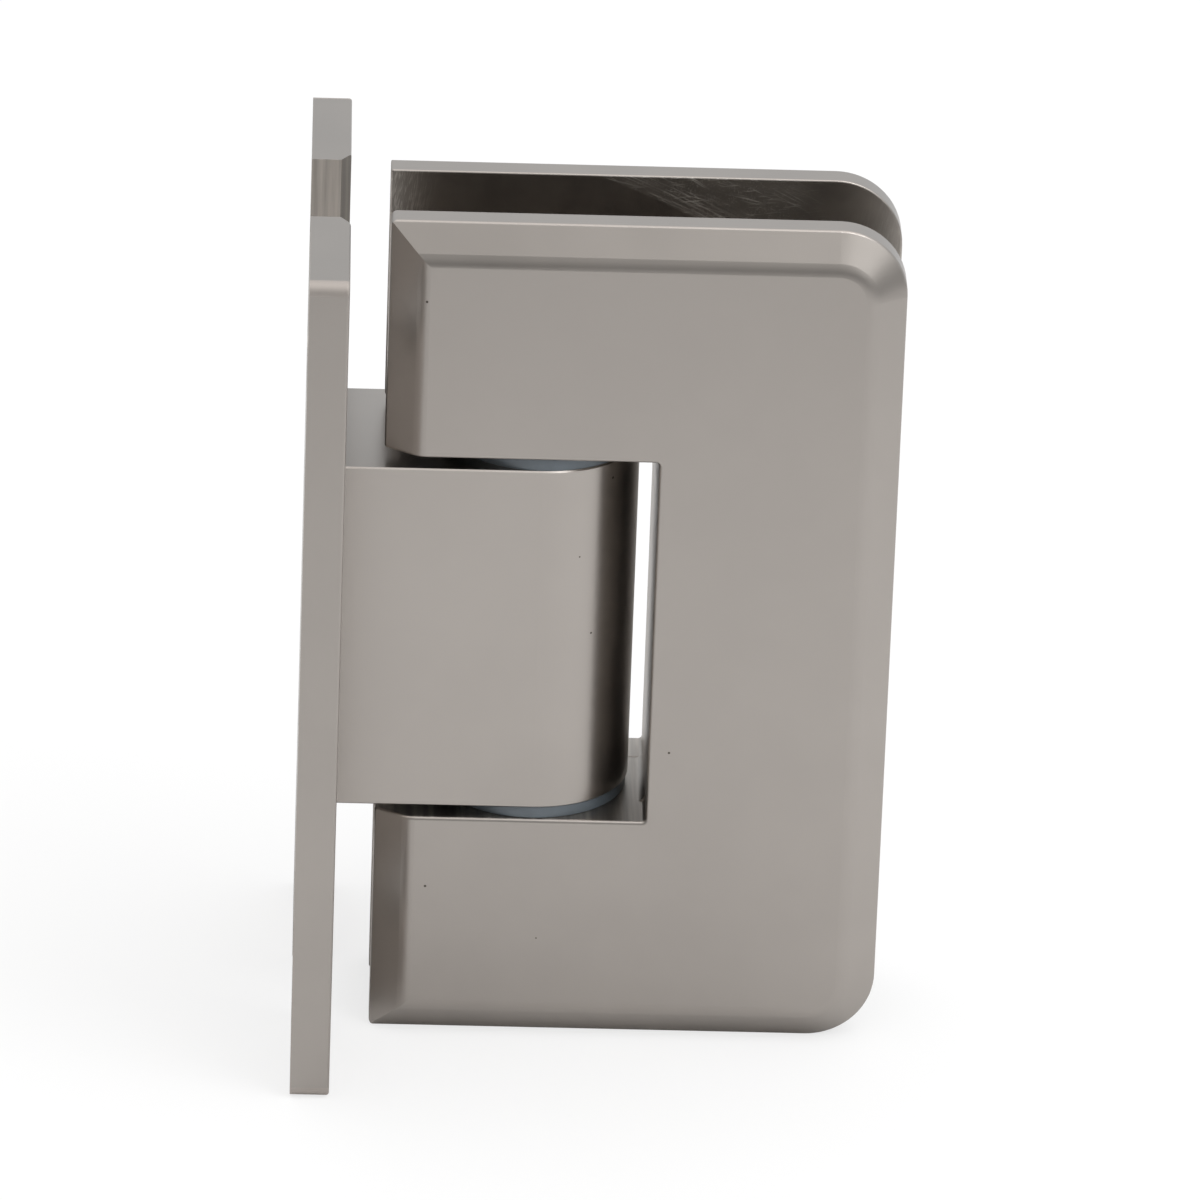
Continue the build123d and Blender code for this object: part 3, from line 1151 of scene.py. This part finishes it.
@dataclass
class Floor:
    """Round white table top that keeps the hinge's soft shadow, in metres.

    Args:
        level: its height.
        reach: its radius.
        pale: its colour under the lamps.
        paper_seen: share of plain white that the camera sees in it.
        sides: corners of its outline.
    """

    level: float
    reach: float = 0.35
    pale: Colour = (0.9, 0.9, 0.9)
    paper_seen: float = 0.72
    sides: int = 96

    def outline(self) -> bpy.types.Mesh:
        """Makes the table top's one round face.

        Returns:
            The mesh.
        """
        mesh = bpy.data.meshes.new("studio_floor")
        angles = [2 * math.pi * i / self.sides for i in range(self.sides)]
        corners = [(self.reach * math.cos(a), self.reach * math.sin(a), 0.0) for a in angles]
        mesh.from_pydata(corners, [], [tuple(range(self.sides))])
        return mesh

    def paper(self) -> bpy.types.Material:
        """Makes the white paper on it, which looks partly lit and partly plain white.

        Returns:
            The material.
        """
        material = bpy.data.materials.new("studio_floor")
        material.use_nodes = True
        sheet = NodeSheet(material.node_tree)
        material.node_tree.nodes.clear()
        lit = sheet.add("ShaderNodeBsdfDiffuse")
        lit.inputs["Color"].default_value = rgba(self.pale)
        white = sheet.add("ShaderNodeEmission")
        path = sheet.add("ShaderNodeLightPath")
        blend = sheet.add("ShaderNodeMixShader")
        sheet.join(sheet.times(path.outputs["Is Camera Ray"], self.paper_seen), blend.inputs["Fac"])
        sheet.join(lit.outputs[0], blend.inputs[1])
        sheet.join(white.outputs[0], blend.inputs[2])
        out = sheet.add("ShaderNodeOutputMaterial")
        sheet.join(blend.outputs[0], out.inputs["Surface"])
        return material

    def build(self) -> bpy.types.Object:
        """Builds the floor.

        Returns:
            The floor's object.
        """
        mesh = self.outline()
        mesh.materials.append(self.paper())
        floor = bpy.data.objects.new("studio_floor", mesh)
        floor.location = (0.0, 0.0, self.level)
        bpy.context.scene.collection.objects.link(floor)
        LOG.info("floor at %.4f m", self.level)
        return floor


@dataclass(frozen=True)
class SoftBox:
    """One rectangular studio lamp, in metres.

    Args:
        name: the lamp's name.
        place: where it stands.
        size: its width and height.
        glow: how bright its face is, where 1 is plain white.
        aim: the point that it faces.
        colour: its colour.
    """

    name: str
    place: Triple
    size: Span
    glow: float
    aim: Triple = (0.03, 0.0, 0.0)
    colour: Colour = (0.975, 0.99, 1.0)

    def build(self) -> bpy.types.Object:
        """Builds the lamp.

        Returns:
            The lamp's object.
        """
        lamp = bpy.data.lights.new(self.name, "AREA")
        lamp.shape = "RECTANGLE"
        lamp.size, lamp.size_y = self.size
        lamp.energy = WHITE_LAMP_POWER * self.glow * self.size[0] * self.size[1]
        lamp.color = self.colour
        thing = bpy.data.objects.new(self.name, lamp)
        thing.location = self.place
        thing.rotation_mode = "QUATERNION"
        towards = Vector(self.aim) - Vector(self.place)
        thing.rotation_quaternion = towards.to_track_quat("-Z", "Y")
        bpy.context.scene.collection.objects.link(thing)
        LOG.info("lamp %s", self.name)
        return thing


@dataclass
class StudioRoom:
    """Light of the room: a pale ceiling, a white wall behind and a dimmer room in front.

    Args:
        front: heights of the look, from -1 to 1, and the brightness there, in front.
        front_tint: colour of the room in front.
        back: colour of the wall behind.
        back_y: how far back a look goes where the wall behind begins and where it is full.
        ceiling: colour overhead.
        ceiling_z: height of the look where the ceiling begins and where it is full.
        window: direction of the soft light from the right.
        window_edge: nearness to that direction where the light begins and where it is full.
        window_glow: how much that light adds.
        window_tint: its colour.
    """

    front: tuple[Span, ...] = (
        (-0.06, 0.18),
        (0.06, 0.22),
        (0.22, 0.46),
        (0.62, 0.42),
        (0.86, 1.4),
        (1.0, 1.6),
    )
    front_tint: Colour = (1.0, 0.995, 0.985)
    back: Colour = (0.87, 0.9, 0.925)
    back_y: Span = (-0.35, 0.25)
    ceiling: Colour = (1.65, 1.62, 1.6)
    ceiling_z: Span = (0.55, 0.95)
    window: Triple = (0.70, -0.67, 0.256)
    window_edge: Span = (0.72, 1.0)
    window_glow: float = 0.22
    window_tint: Colour = (0.98, 1.0, 1.0)

    def front_light(self, sheet: NodeSheet, z: Socket) -> Socket:
        """Gives the brightness of the room in front at each height.

        Args:
            sheet: the world's nodes.
            z: height of the look.

        Returns:
            The colour.
        """
        ramp = sheet.add("ShaderNodeValToRGB")
        sheet.join(sheet.times(sheet.plus(z, 1.0), 0.5), ramp.inputs["Fac"])
        band = ramp.color_ramp
        band.interpolation = "EASE"
        while len(band.elements) < len(self.front):
            band.elements.new(1.0)
        for element, (height, level) in zip(band.elements, self.front):
            element.position = (height + 1.0) / 2
            element.color = rgba(self.front_tint, level)
        return ramp.outputs["Color"]

    def glow(self, sheet: NodeSheet, colour: object, strength: object = 1.0) -> Socket:
        """Gives light of one colour and strength."""
        light = sheet.add("ShaderNodeBackground")
        sheet.feed(light.inputs["Color"], colour)
        sheet.feed(light.inputs["Strength"], strength)
        return light.outputs[0]

    def light(self, sheet: NodeSheet) -> Socket:
        """Gives the light that falls on the hinge and that its metal mirrors.

        Args:
            sheet: the world's nodes.

        Returns:
            The light.
        """
        look = sheet.add("ShaderNodeTexCoord").outputs["Generated"]
        _, y, z = sheet.parts(look)
        behind = sheet.mix(sheet.step(z, *self.ceiling_z), rgba(self.back), rgba(self.ceiling))
        tint = sheet.mix(sheet.step(y, *self.back_y), self.front_light(sheet, z), behind)
        near = sheet.measure("DOT_PRODUCT", look, self.window)
        window = sheet.times(sheet.step(near, *self.window_edge), self.window_glow)
        both = sheet.add("ShaderNodeAddShader")
        sheet.join(self.glow(sheet, tint), both.inputs[0])
        sheet.join(self.glow(sheet, rgba(self.window_tint), window), both.inputs[1])
        return both.outputs[0]

    def build(self) -> None:
        """Builds the world, which the camera itself sees plain white."""
        world = bpy.data.worlds.new("studio_room")
        world.use_nodes = True
        sheet = NodeSheet(world.node_tree)
        world.node_tree.nodes.clear()
        path = sheet.add("ShaderNodeLightPath")
        choose = sheet.add("ShaderNodeMixShader")
        sheet.join(path.outputs["Is Camera Ray"], choose.inputs["Fac"])
        sheet.join(self.light(sheet), choose.inputs[1])
        sheet.join(self.glow(sheet, rgba(WHITE)), choose.inputs[2])
        out = sheet.add("ShaderNodeOutputWorld")
        sheet.join(choose.outputs[0], out.inputs["Surface"])
        bpy.context.scene.world = world
        LOG.info("room made")


@dataclass(frozen=True)
class PhotoCamera:
    """The camera at the photograph's angle, in metres and degrees.

    Args:
        azimuth: angle about Z, 0 looking along +Y.
        elevation: angle above the horizon.
        roll: turn about the line of sight.
        distance: from the target.
        target: the point looked at.
        focal_px: focal length in pixels of the photograph.
        clip: nearest and farthest distance that it sees.
    """

    azimuth: float = -1.850
    elevation: float = 24.652
    roll: float = 2.134
    distance: float = 1.12448
    target: Triple = (0.030532, 0.0, 0.000154)
    focal_px: float = 10995.2
    clip: Span = (0.05, 50.0)

    def pose(self) -> Matrix:
        """Works out where the camera stands and how it is turned.

        Returns:
            Its matrix in the scene.
        """
        around, above, tilt = (math.radians(a) for a in (self.azimuth, self.elevation, self.roll))
        flat = math.cos(above)
        back = Vector((math.sin(around) * flat, -math.cos(around) * flat, math.sin(above)))
        level = Vector((math.cos(around), math.sin(around), 0.0))
        rise = back.cross(level)
        right = level * math.cos(tilt) + rise * math.sin(tilt)
        up = rise * math.cos(tilt) - level * math.sin(tilt)
        turn = Matrix((right, up, back)).transposed().to_4x4()
        return Matrix.Translation(Vector(self.target) + back * self.distance) @ turn

    def build(self) -> bpy.types.Object:
        """Builds the camera and makes it the scene's own.

        Returns:
            The camera's object.
        """
        camera = bpy.data.cameras.new("photo_camera")
        camera.sensor_width = SENSOR_MM
        camera.lens = self.focal_px / PICTURE_PX * SENSOR_MM
        camera.clip_start, camera.clip_end = self.clip
        thing = bpy.data.objects.new("photo_camera", camera)
        thing.matrix_world = self.pose()
        bpy.context.scene.collection.objects.link(thing)
        bpy.context.scene.camera = thing
        LOG.info("camera with a %.1f mm lens", camera.lens)
        return thing


LAMPS = (
    SoftBox("right_box", (0.50, -0.30, 0.36), (0.34, 0.34), 1.0),
    SoftBox("table_box", (0.24, -0.16, 0.42), (0.24, 0.24), 2.4, aim=(0.19, -0.09, -0.045)),
)


def write_sizes() -> None:
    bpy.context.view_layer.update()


def main() -> None:
    """Dresses the hinge and builds the studio."""
    logging.basicConfig(level=logging.INFO, format="%(name)s: %(message)s")
    effects = Effects.build()
    WallSide(effects).finish()
    Detent(effects).finish()
    DoorLeaf(effects).finish()
    Floor(level=solid_box[0].z - FLOOR_GAP).build()
    StudioRoom().build()
    for lamp in LAMPS:
        lamp.build()
    PhotoCamera().build()
    bpy.context.scene.view_settings.view_transform = "Standard"
    write_sizes()


if __name__ == "__main__":
    main()
